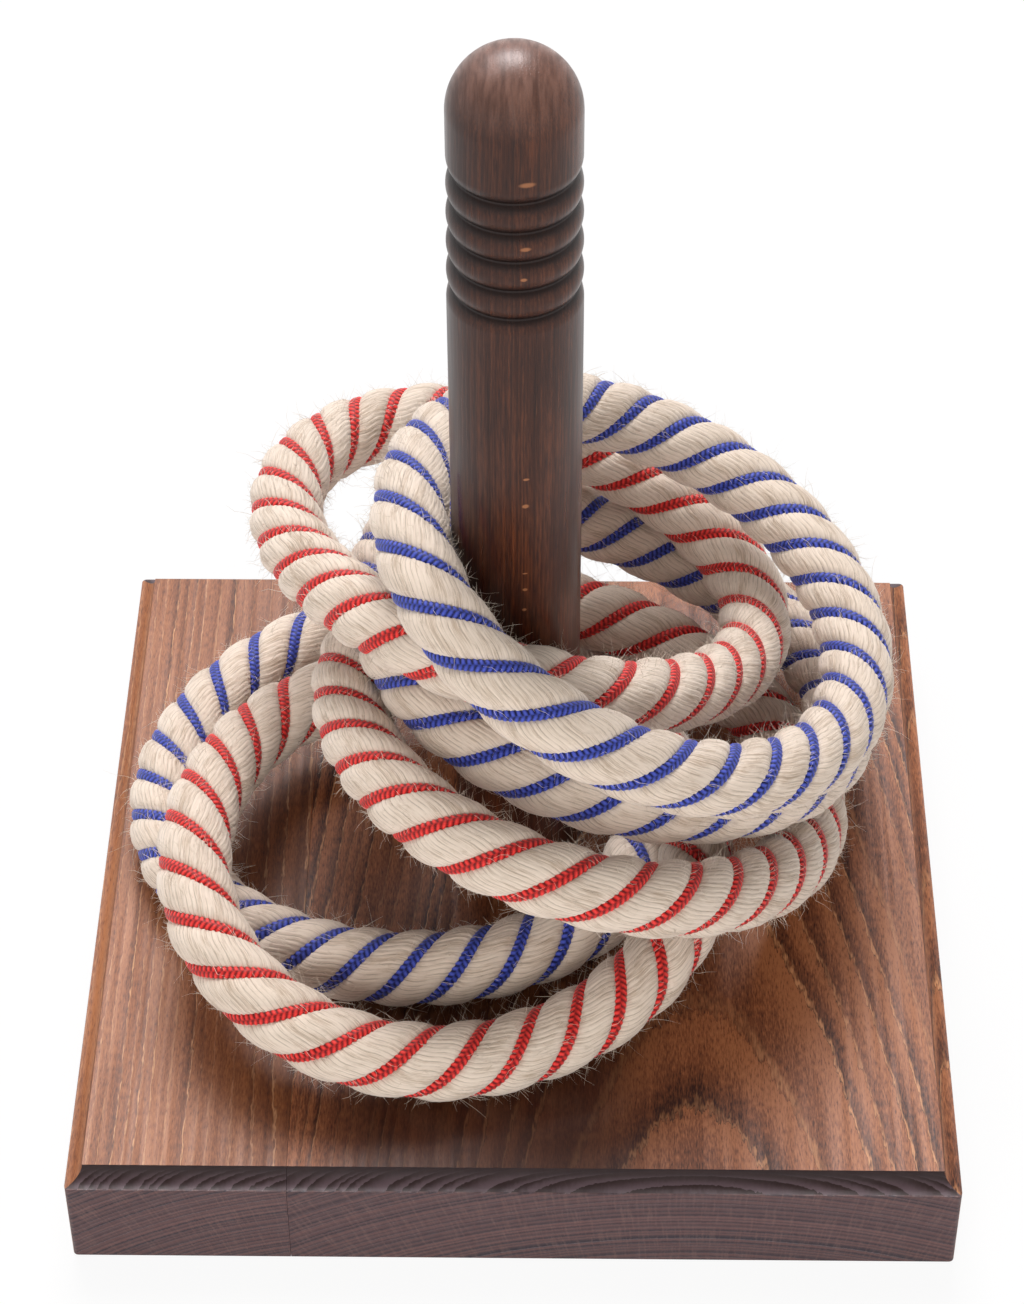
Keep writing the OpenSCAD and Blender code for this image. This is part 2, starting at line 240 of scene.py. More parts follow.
def wood(name, pith, tilt, pitch, colors, along, shares, dark_band):
    """Stained beech: year rings round a pith that runs along one axis, with fibres, pores and rays.

    pith is the pith's place on the other two axes in millimetres, tilt its drift along the grain, and
    pitch the width of a year ring. shares says how much each kind of figure shows. The last argument
    is a band of darker colour, as the band function below takes it; on the wide board that band is
    partly darker stain and partly painted shade at the front, where the quoits cast their shadow.
    """
    pale, light, mid, dark = colors
    material, tree, shader = new_material(name)
    coords = add(tree, "ShaderNodeTexCoord")
    place = vector(tree, "MULTIPLY", coords.outputs["Object"], (1 / MM, 1 / MM, 1 / MM))
    figure = {
        kind: noise(tree, place, stretch, 2.0, 0.6).outputs for kind, stretch in FIGURE[along].items()
    }
    fibre, streak = figure["fibre"]["Fac"], figure["streak"]["Fac"]
    moved = place
    for kind, shift in SHIFTS.items():
        off = vector(tree, "SUBTRACT", figure[kind]["Color"], (0.5, 0.5, 0.5))
        moved = vector(tree, "ADD", moved, vector(tree, "MULTIPLY", off, shift))
    count, sides, reach = year_rings(tree, moved, pith, tilt, pitch, along)
    ring, late, early = ring_parts(tree, count)
    tone = product(tree, late, shares["ring"])
    for kind in ("streak", "fibre", "blotch"):
        swing = maths(tree, "SUBTRACT", figure[kind]["Fac"], 0.5)
        tone = maths(tree, "ADD", tone, product(tree, swing, shares[kind]))
    tone = maths(tree, "ADD", tone, STAIN_STOPS[1] - LATE_MEAN * shares["ring"])
    body = ramp(tree, tone, list(zip(STAIN_STOPS, (light, mid, dark))))
    slant = remap(tree, maths(tree, "ABSOLUTE", sides[0]), 4.0, 28.0, 0.35, 1.0)
    broken = remap(tree, figure["jag"]["Fac"], 0.36, 0.58, 0.3, shares["line"])
    body = mix(tree, product(tree, early, slant, broken), body, rgba(pale))
    # Darker band; on the wide board partly painted shade in front of the quoits
    body = mix(tree, darker_band(tree, moved, dark_band), body, rgba(dark))
    pores = remap(tree, fibre, 0.60, 0.72, 0.0, 0.4)
    body = mix(tree, pores, body, rgba(dark))
    if along == "Y":
        end, cove = end_masks(tree, coords, place)
        body = mix(tree, end, body, end_grain(tree, ring, early, cove, sides, reach, place))
        roughness = BOARD_ROUGHNESS
    else:
        # Dome: partly worn stain, partly a painted highlight
        body = mix(tree, crown_wear_and_highlight(tree, moved, streak), body, rgba(CROWN_WEAR_AND_HIGHLIGHT))
        body = mix(tree, flecks(tree, place), body, rgba(FLECK_STAIN))
        # Grooves: partly gathered stain, partly painted shade
        body = mix(tree, groove_mask(tree, place), body, rgba(toned(dark, 0.4)))
        roughness = POST_ROUGHNESS
    shader.inputs["Specular IOR Level"].default_value = WOOD_SPECULAR
    tree.links.new(body, shader.inputs["Base Color"])
    tree.links.new(remap(tree, streak, 0.3, 0.7, *roughness), shader.inputs["Roughness"])
    rise = maths(tree, "SUBTRACT", product(tree, fibre, 0.6), product(tree, late, 0.3))
    rise = maths(tree, "ADD", rise, streak)
    bump = add(tree, "ShaderNodeBump", {"Height": rise, "Strength": 0.35, "Distance": 0.15 * MM})
    tree.links.new(bump.outputs[0], shader.inputs["Normal"])
    return material


# Where the darker band starts and stops thinning, from the front to the back (mm along y)
DARK_BAND_THINS = (-80.0, -30.0)


def darker_band(tree, place, dark_band):
    """Strong in a band of darker colour, which on the wide board is partly painted shade.

    The band is its middle along x and the half widths where it starts and stops fading, in
    millimetres, its strength, and the share of that which is left behind the front.
    """
    middle, full, gone, strength, left = dark_band
    across, behind, _ = split(tree, place)
    away = maths(tree, "ABSOLUTE", maths(tree, "SUBTRACT", across, middle))
    band = remap(tree, away, full, gone, strength, 0.0)
    return product(tree, band, remap(tree, behind, *DARK_BAND_THINS, 1.0, left))


def end_masks(tree, coords, place):
    """One on the board's cut fibres, which are its two ends with their coves, and on those coves alone."""
    facing = split(tree, coords.outputs["Normal"])[1]
    parts = split(tree, place)
    aside = maths(tree, "ABSOLUTE", parts[0])
    far = maths(tree, "ABSOLUTE", parts[1])
    lip = BASE_HALF / MM
    cove_at = (BASE_HALF - COVE_R) / MM
    end = remap(tree, maths(tree, "ABSOLUTE", facing), 0.3, 0.8)
    mitred = remap(tree, maths(tree, "SUBTRACT", far, aside), -0.1, 0.1)
    coved = product(tree, mitred, remap(tree, far, cove_at, cove_at + 0.2))
    end = maths(tree, "MAXIMUM", end, coved)
    cove = product(tree, end, remap(tree, far, lip - 0.6, lip - 0.2, 1.0, 0.0))
    return end, cove


# Stain on cut fibres: light and dark parts of a year, rays, the line that starts a year, and the coves,
# whose dark colour is partly stain and partly painted shade, with streaks of painted lilac reflection
CUT_LIGHT = (0.122, 0.058, 0.056)
CUT_DARK = (0.018, 0.010, 0.018)
CUT_RAY = (0.21, 0.115, 0.095)
CUT_LINE = (0.28, 0.20, 0.21)
COVE_STAIN_AND_SHADE = (0.020, 0.010, 0.010)
COVE_PAINTED_SHEEN = (0.17, 0.115, 0.135)
RAYS_PER_RADIAN = 260.0


def end_grain(tree, ring, early, cove, sides, reach, place):
    """Stain on cut fibres: a pale line per year ring, thin rays, and coves with painted shade and
    reflections.
    """
    spoke = product(tree, maths(tree, "ARCTAN2", sides[1], sides[0]), RAYS_PER_RADIAN)
    fan = add(tree, "ShaderNodeCombineXYZ", {0: spoke, 1: product(tree, reach, 0.1)}).outputs[0]
    rays = remap(tree, noise(tree, fan, (1, 1, 1), 2.0).outputs["Fac"], 0.45, 0.75)
    band = noise(tree, reach, (0.35, 0.35, 0.35), 2.0).outputs["Fac"]
    banding = remap(tree, band, 0.35, 0.65, 0.0, 0.45)
    shade = maths(tree, "ADD", remap(tree, ring, 0.15, 0.8, 0.55, 0.0), banding)
    cut = mix(tree, shade, rgba(CUT_LIGHT), rgba(CUT_DARK))
    cut = mix(tree, product(tree, rays, 0.25), cut, rgba(CUT_RAY))
    cut = mix(tree, product(tree, early, 0.4), cut, rgba(CUT_LINE))
    # Darker stain and painted shade in the coves, which are hollows
    cut = mix(tree, product(tree, cove, 0.92), cut, rgba(COVE_STAIN_AND_SHADE))
    height = split(tree, place)[2]
    low = remap(tree, height, (BASE_T - COVE_R) / MM, BASE_T / MM - 1, 1.0, 0.0)
    # Streaks of painted lilac reflection along the year rings, on the cove's lower part
    painted_sheen = product(tree, remap(tree, ring, 0.05, 0.9, 0.55, 0.0), low)
    return mix(tree, product(tree, cove, painted_sheen), cut, rgba(COVE_PAINTED_SHEEN))


def crown_wear_and_highlight(tree, place, streak):
    """Strong on the post's dome in streaks: partly worn stain, partly a painted highlight."""
    top = (BASE_T + POST_H) / MM
    dome_share = remap(tree, split(tree, place)[2], top - HEAD_R / MM, top, 0.0, 0.8)
    return product(tree, dome_share, remap(tree, streak, 0.25, 0.75, 1.0, 0.4))


# Ray flecks on the post's front: place across and up, and half sizes, in millimetres
FLECKS = [
    (3.5, 295.8, 2.5, 0.9), (3.0, 276.0, 1.6, 0.7), (2.5, 266.5, 1.0, 0.6), (3.0, 199.5, 1.0, 0.5),
    (2.8, 190.0, 1.1, 0.8), (2.6, 165.5, 0.8, 0.3), (2.6, 159.5, 0.8, 0.6), (2.4, 152.0, 0.7, 0.6),
]
# Fall of a fleck's strength inwards, per millimetre
FLECK_FALL = 0.3
# Depth under the stem's skin at which the grooves' darker colour, partly gathered stain and partly
# painted shade, starts and is full (mm)
GROOVE_STAIN_AND_SHADE = (0.2, 1.3)


def flecks(tree, place):
    """Strong on the post's ray flecks."""
    found = 0.0
    for x, z, half_w, half_h in FLECKS:
        off = vector(tree, "SUBTRACT", place, (x, -POST_R / MM, z))
        off = vector(tree, "MULTIPLY", off, (1 / half_w, FLECK_FALL, 1 / half_h))
        found = maths(tree, "MAXIMUM", remap(tree, length(tree, off), 0.5, 1.1, 0.7, 0.0), found)
    return found


def groove_mask(tree, place):
    """Strong in the post's grooves, darker there: partly gathered stain, partly painted shade."""
    x, y, z = split(tree, place)
    radius = length(tree, add(tree, "ShaderNodeCombineXYZ", {0: x, 1: y}).outputs[0])
    dome = (BASE_T + POST_H - HEAD_R) / MM
    below = remap(tree, z, dome, dome - 3)
    start, full = (POST_R / MM - depth for depth in GROOVE_STAIN_AND_SHADE)
    return product(tree, remap(tree, radius, start, full), below, 0.85)


# Fibres


def jute(name, light, dark, shaggy=False):
    """Natural jute: pale yarns of many fibres, with painted shade in the lines between them."""
    material, tree, shader = new_material(name)
    yarns = add(tree, "ShaderNodeUVMap", uv_map="yarns").outputs[0]
    fibre = noise(tree, yarns, (5.0, 0.16, 1.0), 3.0, 0.65).outputs["Fac"]
    patch = noise(tree, yarns, (0.35, 0.035, 1.0), 2.0).outputs["Fac"]
    tone = maths(tree, "ADD", product(tree, fibre, 0.6), product(tree, patch, 0.4))
    bleached = toned(light, 1.05)
    body = ramp(tree, remap(tree, tone, 0.33, 0.66), [(0.0, dark), (0.5, light), (1.0, bleached)])
    if not shaggy:
        across = maths(tree, "FRACT", split(tree, yarns)[0])
        middle = maths(tree, "ABSOLUTE", maths(tree, "SUBTRACT", across, 0.5))
        gap_shade = remap(tree, middle, 0.30, 0.5)
        gaps = noise(tree, yarns, (1.3, 0.14, 1.0), 2.0).outputs["Fac"]
        broken = remap(tree, gaps, 0.38, 0.62, 0.08, 0.6)
        # Painted shade in the gaps between the yarns
        body = mix(tree, product(tree, gap_shade, broken), body, rgba(toned(dark, 0.6)))
        bump = add(tree, "ShaderNodeBump", {"Height": fibre, "Strength": 0.5, "Distance": 0.25 * MM})
        tree.links.new(bump.outputs[0], shader.inputs["Normal"])
    tree.links.new(body, shader.inputs["Base Color"])
    shader.inputs["Roughness"].default_value = 0.8
    shader.inputs["Specular IOR Level"].default_value = 0.25
    shader.inputs["Sheen Weight"].default_value = 0.25
    shader.inputs["Sheen Roughness"].default_value = 0.5
    return material


def dyed_cord(name, light, dark):
    """Dyed braid, with a painted highlight on each crossing strand's crown and painted shade between."""
    material, tree, shader = new_material(name)
    plait = add(tree, "ShaderNodeUVMap", uv_map="plait").outputs[0]
    crown = add(tree, "ShaderNodeAttribute", attribute_name="crown").outputs["Fac"]
    fibre = noise(tree, plait, (14.0, 1.6, 1.0), 2.0, 0.6).outputs["Fac"]
    tone = maths(tree, "ADD", product(tree, crown, 0.9), product(tree, fibre, 0.4))
    # Painted highlight on the crowns, and painted shade where they are low
    crest = tuple(min(1.0, 1.5 * c + 0.02) for c in light)
    body = ramp(tree, maths(tree, "SUBTRACT", tone, 0.15), [(0.1, dark), (0.45, light), (0.85, crest)])
    tree.links.new(body, shader.inputs["Base Color"])
    shader.inputs["Roughness"].default_value = 0.55
    shader.inputs["Specular IOR Level"].default_value = 0.3
    shader.inputs["Sheen Weight"].default_value = 0.15
    bump = add(tree, "ShaderNodeBump", {"Height": fibre, "Strength": 0.35, "Distance": 0.15 * MM})
    tree.links.new(bump.outputs[0], shader.inputs["Normal"])
    return material


def zinc(name):
    """Bright zinc plate with faint turning marks."""
    material, tree, shader = new_material(name)
    coords = add(tree, "ShaderNodeTexCoord").outputs["Object"]
    marks = noise(tree, coords, (900, 900, 5000), 2.0).outputs["Fac"]
    plate = ramp(tree, marks, [(0.3, (0.42, 0.42, 0.40)), (0.7, (0.66, 0.66, 0.62))])
    tree.links.new(plate, shader.inputs["Base Color"])
    tree.links.new(remap(tree, marks, 0.3, 0.7, 0.25, 0.4), shader.inputs["Roughness"])
    shader.inputs["Metallic"].default_value = 1.0
    return material


# Meshes


def mesh_object(name, points, faces, material):
    """A new smooth mesh in the scene."""
    mesh = bpy.data.meshes.new(name)
    mesh.from_pydata(points, [], faces)
    mesh.polygons.foreach_set("use_smooth", np.ones(len(mesh.polygons), bool))
    mesh.materials.append(material)
    mesh.update()
    made = bpy.data.objects.new(name, mesh)
    bpy.context.scene.collection.objects.link(made)
    return made


def grid_object(name, points, material, uvs, uv_name):
    """A closed tube from rows of points (rows, columns, 3).

    uvs are the steps of its texture from column to column and from row to row.
    """
    rows, columns = points.shape[:2]
    row = np.arange(rows)[:, None]
    column = np.arange(columns)[None, :]
    next_row = (row + 1) % rows
    next_column = (column + 1) % columns
    corners = [(row, column), (next_row, column), (next_row, next_column), (row, next_column)]
    faces = np.stack([np.broadcast_to(r * columns + c, (rows, columns)) for r, c in corners], axis=-1)
    made = mesh_object(name, points.reshape(-1, 3), faces.reshape(-1, 4).tolist(), material)
    u_step, v_step = uvs
    places = [(column, row), (column, row + 1), (column + 1, row + 1), (column + 1, row)]
    flat = np.stack([np.broadcast_arrays(c * u_step, r * v_step) for c, r in places], axis=-1)
    flat = np.moveaxis(flat, 0, -1)
    layer = made.data.uv_layers.new(name=uv_name)
    layer.data.foreach_set("uv", flat.reshape(-1).astype(np.float32))
    return made


def unit(v):
    return v / np.linalg.norm(v, axis=-1, keepdims=True)


# Where the quoits lie


def loop_points(quoit, size, t):
    """A quoit's middle line about its own middle, at the angles t."""
    oval, turn = quoit["oval"][0], math.radians(quoit["oval"][1])
    rise_x, rise_y = (math.tan(math.radians(a)) for a in quoit["lean"])
    saddle_1, saddle_2, pull_1, pull_2 = quoit["bend"]
    pull = 1 + pull_1 * np.cos(3 * t) + pull_2 * np.sin(3 * t)
    along = size * math.sqrt(oval) * np.cos(t) * pull
    across = size / math.sqrt(oval) * np.sin(t) * pull
    x = along * math.cos(turn) - across * math.sin(turn)
    y = along * math.sin(turn) + across * math.cos(turn)
    saddle = MM * (saddle_1 * np.cos(2 * t) + saddle_2 * np.sin(2 * t))
    return np.stack([x, y, x * rise_x + y * rise_y + saddle], axis=-1)


SIZE_PASSES = 8


def loop_size(quoit, t):
    """The size at which the loop has the rope's length."""
    size = RING_D / 2
    for _ in range(SIZE_PASSES):
        p = loop_points(quoit, size, t)
        size *= math.pi * RING_D / np.linalg.norm(np.roll(p, -1, 0) - p, axis=1).sum()
    return size


def settle_quoits():
    """Each quoit's size, and its middle's place once it has dropped onto the base and those below."""
    t = np.arange(SAMPLES) * 2 * math.pi / SAMPLES
    room = 2 * ROPE_R - BEDDING
    laid, found = [], []
    for quoit in QUOITS:
        size = loop_size(quoit, t)
        middle = np.array([*quoit["lie"], 0.0]) * MM
        p = loop_points(quoit, size, t) + middle
        reach = np.hypot(p[:, 0], p[:, 1])
        near = reach.argmin()
        need = POST_R + ROPE_R + REST_GAP
        if reach[near] < need:
            push = np.array([p[near, 0], p[near, 1], 0.0]) * (need - reach[near]) / reach[near]
            middle, p = middle + push, p + push
        lift = BASE_T + ROPE_R + REST_GAP - p[:, 2].min()
        for under in laid:
            apart = np.hypot(p[:, None, 0] - under[None, :, 0], p[:, None, 1] - under[None, :, 1])
            over = under[None, :, 2] + np.sqrt(np.maximum(0, room**2 - apart**2)) - p[:, None, 2]
            lift = max(lift, over[apart < room].max(initial=-1.0))
        middle[2] += lift
        laid.append(p + [0, 0, lift])
        found.append((size, middle))
    return found


# Steps round a quoit where it is followed closely
FINE_STEPS = 1440


def rope_frames(quoit, size, middle, count):
    """Evenly spaced places along a quoit's middle line, with the directions out, up and ahead at each."""
    dense = np.linspace(0, 2 * math.pi, FINE_STEPS + 1)
    p = loop_points(quoit, size, dense)
    gone = np.concatenate([[0], np.linalg.norm(np.diff(p, axis=0), axis=1).cumsum()])
    t = np.interp(np.arange(count) * gone[-1] / count, gone, dense)
    here = loop_points(quoit, size, t)
    nudge = math.radians(1)
    ahead = unit(loop_points(quoit, size, t + nudge) - loop_points(quoit, size, t - nudge))
    out = unit(here - ahead * (here * ahead).sum(-1, keepdims=True))
    return here + middle, out, np.cross(ahead, out), ahead


def lay_turn(quoit, rounds):
    """Turn of the left-handed lay after a number of rounds."""
    start, along, across = (math.radians(a) for a in quoit["lay"])
    gone = 2 * math.pi * rounds
    return start + along * np.cos(gone) + across * np.sin(gone) - LAY_TURNS * gone


# Rope strand

YARNS = 26
YARN_POINTS = 3
STRAND_STEPS = 330
YARN_TURNS = 56
STRAND_AT = 5.5 * MM
# Half section of a strand, about its own middle: degrees from the crest, and reach in millimetres
STRAND_SECTION = [
    (0, 5.45), (35, 5.85), (61, 6.6), (77, 6.9), (88, 6.65),
    (102, 5.9), (123, 4.95), (152, 4.5), (180, 4.7),
]
# Degrees over which the section is smoothed
SECTION_SMOOTHING = 25
# Rise of a yarn at each of its points, as a share of its bulge
YARN_SHAPE = (-1.0, 0.5, 0.5)
YARN_BULGE = 0.14 * MM
YARN_WAVE = 0.05 * MM
# Fewest and most waves of a yarn along the strand
WAVE_COUNTS = (9, 60)
ROUGHNESS = 0.045 * MM


def strand_reach(angle):
    """Reach of the strand's section at an angle from its crest, smoothed."""
    degrees = np.degrees(np.abs((angle + math.pi) % (2 * math.pi) - math.pi))
    knots, reach = zip(*STRAND_SECTION)
    around = np.arange(-180, 180)
    table = np.interp(np.abs(around), knots, reach)
    kernel = np.hanning(SECTION_SMOOTHING)
    table = np.convolve(np.tile(table, 3), kernel / kernel.sum(), "same")[360:720]
    return np.interp(degrees, np.abs(around[180:]), table[180:], right=reach[-1]) * MM


def make_rope(number, quoit, size, middle, material, rng):
    """One strand laid three times round, in yarns that run along the rope."""
    place, out, up, _ = rope_frames(quoit, size, middle, STRAND_STEPS)
    steps = np.arange(STRANDS * STRAND_STEPS)
    lay = math.pi / STRANDS + lay_turn(quoit, steps / STRAND_STEPS)
    k = steps % STRAND_STEPS
    radial = np.cos(lay)[:, None] * out[k] + np.sin(lay)[:, None] * up[k]
    around = -np.sin(lay)[:, None] * out[k] + np.cos(lay)[:, None] * up[k]
    columns = YARNS * YARN_POINTS
    column = np.arange(columns)
    twist = 2 * math.pi * YARN_TURNS * steps / len(steps)
    angle = 2 * math.pi * column[None, :] / columns + twist[:, None]
    bulge = np.array(YARN_SHAPE)[column % YARN_POINTS] * YARN_BULGE
    yarn = column // YARN_POINTS
    waves = rng.uniform(0, 2 * math.pi, (YARNS, 2))
    counts = rng.integers(*WAVE_COUNTS, (YARNS, 2))
    turn = 2 * math.pi * steps[:, None] / len(steps)
    uneven = sum(np.sin(turn * counts[yarn, wave] + waves[yarn, wave]) for wave in range(2))
    rough = rng.normal(0, ROUGHNESS, angle.shape)
    reach = strand_reach(angle) + bulge[None, :] + YARN_WAVE * uneven + rough
    inward = STRAND_AT + np.cos(angle) * reach
    sideways = np.sin(angle) * reach
    beside = sideways[..., None] * around[:, None]
    points = place[k][:, None] + inward[..., None] * radial[:, None] + beside
    step = math.pi * RING_D / STRAND_STEPS / MM
    return grid_object(f"quoit_{number}_rope_laid", points, material, (1 / YARN_POINTS, step), "yarns")


# Coloured cord

CORD_STEPS = 2200
CORD_AT = 8.6 * MM
CORD_HALF_W = 1.85 * MM
CORD_HALF_H = 1.6 * MM
PLAIT_PITCH = 1.55 * MM
PLAIT_DEPTH = 0.18
# Turn of the plait's waves along the cord for each radian round it
PLAIT_SLANT = 2.4
# Lowest height of a crossing strand, its waves and their start round the cord, and the middling height
CROWN_LOW = 0.3
CROWN_WAVES = 1.6
CROWN_START = 0.25
CROWN_MEAN = 0.6
# Angles round the cord's section from its top, closer together where it shows
CORD_ANGLES = np.radians([0, 19, 38, 57, 78, 110, 180, 250, 282, 303, 322, 341])


def make_cord(number, quoit, size, middle, material):
    """One braided cord that fills the rope's three grooves in three rounds."""
    place, out, up, _ = rope_frames(quoit, size, middle, CORD_STEPS)
    steps = np.arange(STRANDS * CORD_STEPS)
    lay = lay_turn(quoit, steps / CORD_STEPS)
    k = steps % CORD_STEPS
    radial = np.cos(lay)[:, None] * out[k] + np.sin(lay)[:, None] * up[k]
    line = place[k] + CORD_AT * radial
    ahead = unit(np.roll(line, -1, 0) - np.roll(line, 1, 0))
    side = unit(np.cross(ahead, radial))
    top = np.cross(side, ahead)
    whole = np.linalg.norm(np.roll(line, -1, 0) - line, axis=1).sum()
    plaits = round(whole / PLAIT_PITCH)
    along = 2 * math.pi * plaits * steps / len(steps)
    right = CORD_ANGLES < math.pi
    lean = np.where(right, CORD_ANGLES, 2 * math.pi - CORD_ANGLES)
    phase = along[:, None] + PLAIT_SLANT * lean[None, :] + np.where(right, math.pi, 0.0)[None, :]
    crossing = CROWN_LOW + (1 - CROWN_LOW) * np.abs(np.sin(CROWN_WAVES * lean + CROWN_START))
    crown = (0.5 + 0.5 * np.cos(phase)) * crossing[None, :]
    swell = 1 + PLAIT_DEPTH * (crown - CROWN_MEAN)
    across = CORD_HALF_W * np.sin(CORD_ANGLES)[None, :] * swell
    height = CORD_HALF_H * np.cos(CORD_ANGLES)[None, :] * swell
    points = line[:, None] + across[..., None] * side[:, None] + height[..., None] * top[:, None]
    step = whole / len(steps) / MM
    name = f"quoit_{number}_cord_braided"
    made = grid_object(name, points, material, (1 / len(CORD_ANGLES), step), "plait")
    layer = made.data.attributes.new("crown", "FLOAT", "POINT")
    layer.data.foreach_set("value", crown.reshape(-1).astype(np.float32))
    return made


# Loose fibres

HAIRS = 9000
# Thickness along a hair, as a share of its radius at the root
HAIR_TAPER = (1.0, 0.95, 0.7, 0.3)
HAIR_POINTS = len(HAIR_TAPER)
HAIR_SIDES = 3
HAIR_R = 0.07 * MM
# Angle from a cord, across a strand, at which hairs start and stop (degrees)
HAIR_ACROSS = (16, 104)
# Depth of a root under the rope's skin on a strand's crest, and how much deeper it is beside a cord
ROOT_DEPTH = 0.7 * MM
ROOT_FALL = 1.1 * MM
# Shape and scale of the spread of lengths, and the shortest and longest (mm)
HAIR_SPREAD = (1.8, 1.6)
HAIR_LENGTHS = (1.0, 11)
# Least and most that a hair stands up, as a share of its length
HAIR_LIFT = (0.2, 0.9)
# Share of its length that a hair goes up and along together
HAIR_REACH = 1.1
# Most that a hair is bent, and the shares of its length that it then bends aside, bends up and curls
MOST_BENT = 0.9
HAIR_BENDS = (0.35, 0.25, 0.12)
# Turn of a hair's curl from root to tip, and of the curl's start with the bend (radians)
CURL_TURN = 5
CURL_START = 3
# Step in the jute's texture from one hair to the next, so that each has its own shade
HAIR_UV_STEP = (0.37, 0.11)


def hair_lines(quoit, size, middle, rng):
    """The middle lines of a quoit's hairs (hairs, points, 3), and two directions across each."""
    place, out, up, ahead = rope_frames(quoit, size, middle, FINE_STEPS)
    at = rng.integers(0, FINE_STEPS, HAIRS)
    across = np.radians(rng.uniform(*HAIR_ACROSS, HAIRS))
    strand = rng.integers(0, STRANDS, HAIRS) * 2 * math.pi / STRANDS
    turn = lay_turn(quoit, at / FINE_STEPS) + strand + across
    normal = np.cos(turn)[:, None] * out[at] + np.sin(turn)[:, None] * up[at]
    way = rng.choice([-1, 1], HAIRS)[:, None] * ahead[at]
    cross = np.cross(normal, ahead[at])
    hair_length = rng.gamma(*HAIR_SPREAD, HAIRS).clip(*HAIR_LENGTHS) * MM
    off_crest = (across * STRANDS / math.pi - 1)[:, None]
    start = place[at] + normal * (ROPE_R - ROOT_DEPTH - ROOT_FALL * off_crest**2)
    lift = rng.uniform(*HAIR_LIFT, HAIRS)[:, None]
    bend = rng.uniform(-MOST_BENT, MOST_BENT, (HAIRS, 3))
    aside, above, curl = HAIR_BENDS
    s = np.linspace(0, 1, HAIR_POINTS)[None, :, None]
    sweep = aside * bend[:, None, :1] * cross[:, None] + above * bend[:, None, 1:2] * normal[:, None]
    wave = np.sin(CURL_TURN * s + CURL_START * bend[:, None, 2:])
    line = start[:, None] + hair_length[:, None, None] * (
        s * (lift[:, None] * normal[:, None] + (HAIR_REACH - lift)[:, None] * way[:, None])
        + s**2 * sweep
        + curl * wave * cross[:, None] * s
    )
    line[..., 2] = np.maximum(line[..., 2], BASE_T + HAIR_R)
    return line, unit(cross), unit(normal)


def hair_faces(first):
    """Faces of one hair, closed at both ends, from the number of its first point."""
    last = first + (HAIR_POINTS - 1) * HAIR_SIDES
    faces = [(first, first + 2, first + 1), (last, last + 1, last + 2)]
    for row in range(first, last, HAIR_SIDES):
        for j in range(HAIR_SIDES):
            j2 = (j + 1) % HAIR_SIDES
            faces.append((row + j, row + j2, row + HAIR_SIDES + j2, row + HAIR_SIDES + j))
    return faces


def make_fuzz(number, quoit, size, middle, material, rng):
    """Loose fibres that stand out of the rope, each a thin bent tube with closed ends."""
    line, side_a, side_b = hair_lines(quoit, size, middle, rng)
    corner = np.arange(HAIR_SIDES) * 2 * math.pi / HAIR_SIDES
    taper = HAIR_R * np.array(HAIR_TAPER)[None, :, None, None]
    ring = (
        np.cos(corner)[None, None, :, None] * side_a[:, None, None]
        + np.sin(corner)[None, None, :, None] * side_b[:, None, None]
    )
    points = (line[:, :, None] + taper * ring).reshape(-1, 3)
    per_hair = HAIR_POINTS * HAIR_SIDES
    faces = [face for hair in range(HAIRS) for face in hair_faces(hair * per_hair)]
    made = mesh_object(f"quoit_{number}_fuzz", points, faces, material)
    layer = made.data.uv_layers.new(name="yarns")
    index = np.zeros(len(made.data.loops), np.int32)
    made.data.loops.foreach_get("vertex_index", index)
    places = (index // per_hair)[:, None] * np.array(HAIR_UV_STEP)
    layer.data.foreach_set("uv", places.reshape(-1).astype(np.float32))
    return made


# Turned post

POST_SIDES = 96
STEM_STEPS = 24
BEAD_STEPS = 12
DOME_STEPS = 40
# Angle at which the dome's last ring lies, just under the crown (degrees)
DOME_END = 89
FOOT_BEVEL = 0.4 * MM
# Where the stem's rings start above its foot, and stop below the lowest groove
STEM_START = 10 * MM
STEM_STOP = 2 * MM


def post_profile():
    """Half section of the post above the base's top, from the foot to the crown."""
    half = GROOVE_PITCH / 2
    arc = (half**2 + GROOVE_DEPTH**2) / (2 * GROOVE_DEPTH)
    top = POST_H - GROOVE_DROP
    low = top - (GROOVE_N - 1) * GROOVE_PITCH

    def fall(dz):
        return arc - np.sqrt(np.maximum(0, arc**2 - dz**2))

    rise = np.linspace(0, half, BEAD_STEPS + 1)
    full = np.linspace(-half, half, 2 * BEAD_STEPS + 1)
    foot = [(POST_R - FOOT_BEVEL, 0.0), (POST_R, FOOT_BEVEL)]
    stem = [(POST_R, z) for z in np.linspace(STEM_START, low - half - STEM_STOP, STEM_STEPS)]
    parts = [foot, stem, np.stack([POST_R - fall(rise), low - half + rise], -1)]
    for bead in range(GROOVE_N - 1):
        crest = POST_R + (HEAD_R - POST_R) * (bead + 1) / GROOVE_N
        parts.append(np.stack([crest - fall(full), low + (bead + 0.5) * GROOVE_PITCH + full], -1)[1:])
    parts.append(np.stack([HEAD_R - fall(rise[::-1]), top + half - rise[::-1]], -1)[1:])
    dome = np.radians(np.linspace(0, DOME_END, DOME_STEPS))
    parts.append(np.stack([HEAD_R * np.cos(dome), POST_H - HEAD_R + HEAD_R * np.sin(dome)], -1))
    return np.concatenate([np.asarray(p, float) for p in parts])


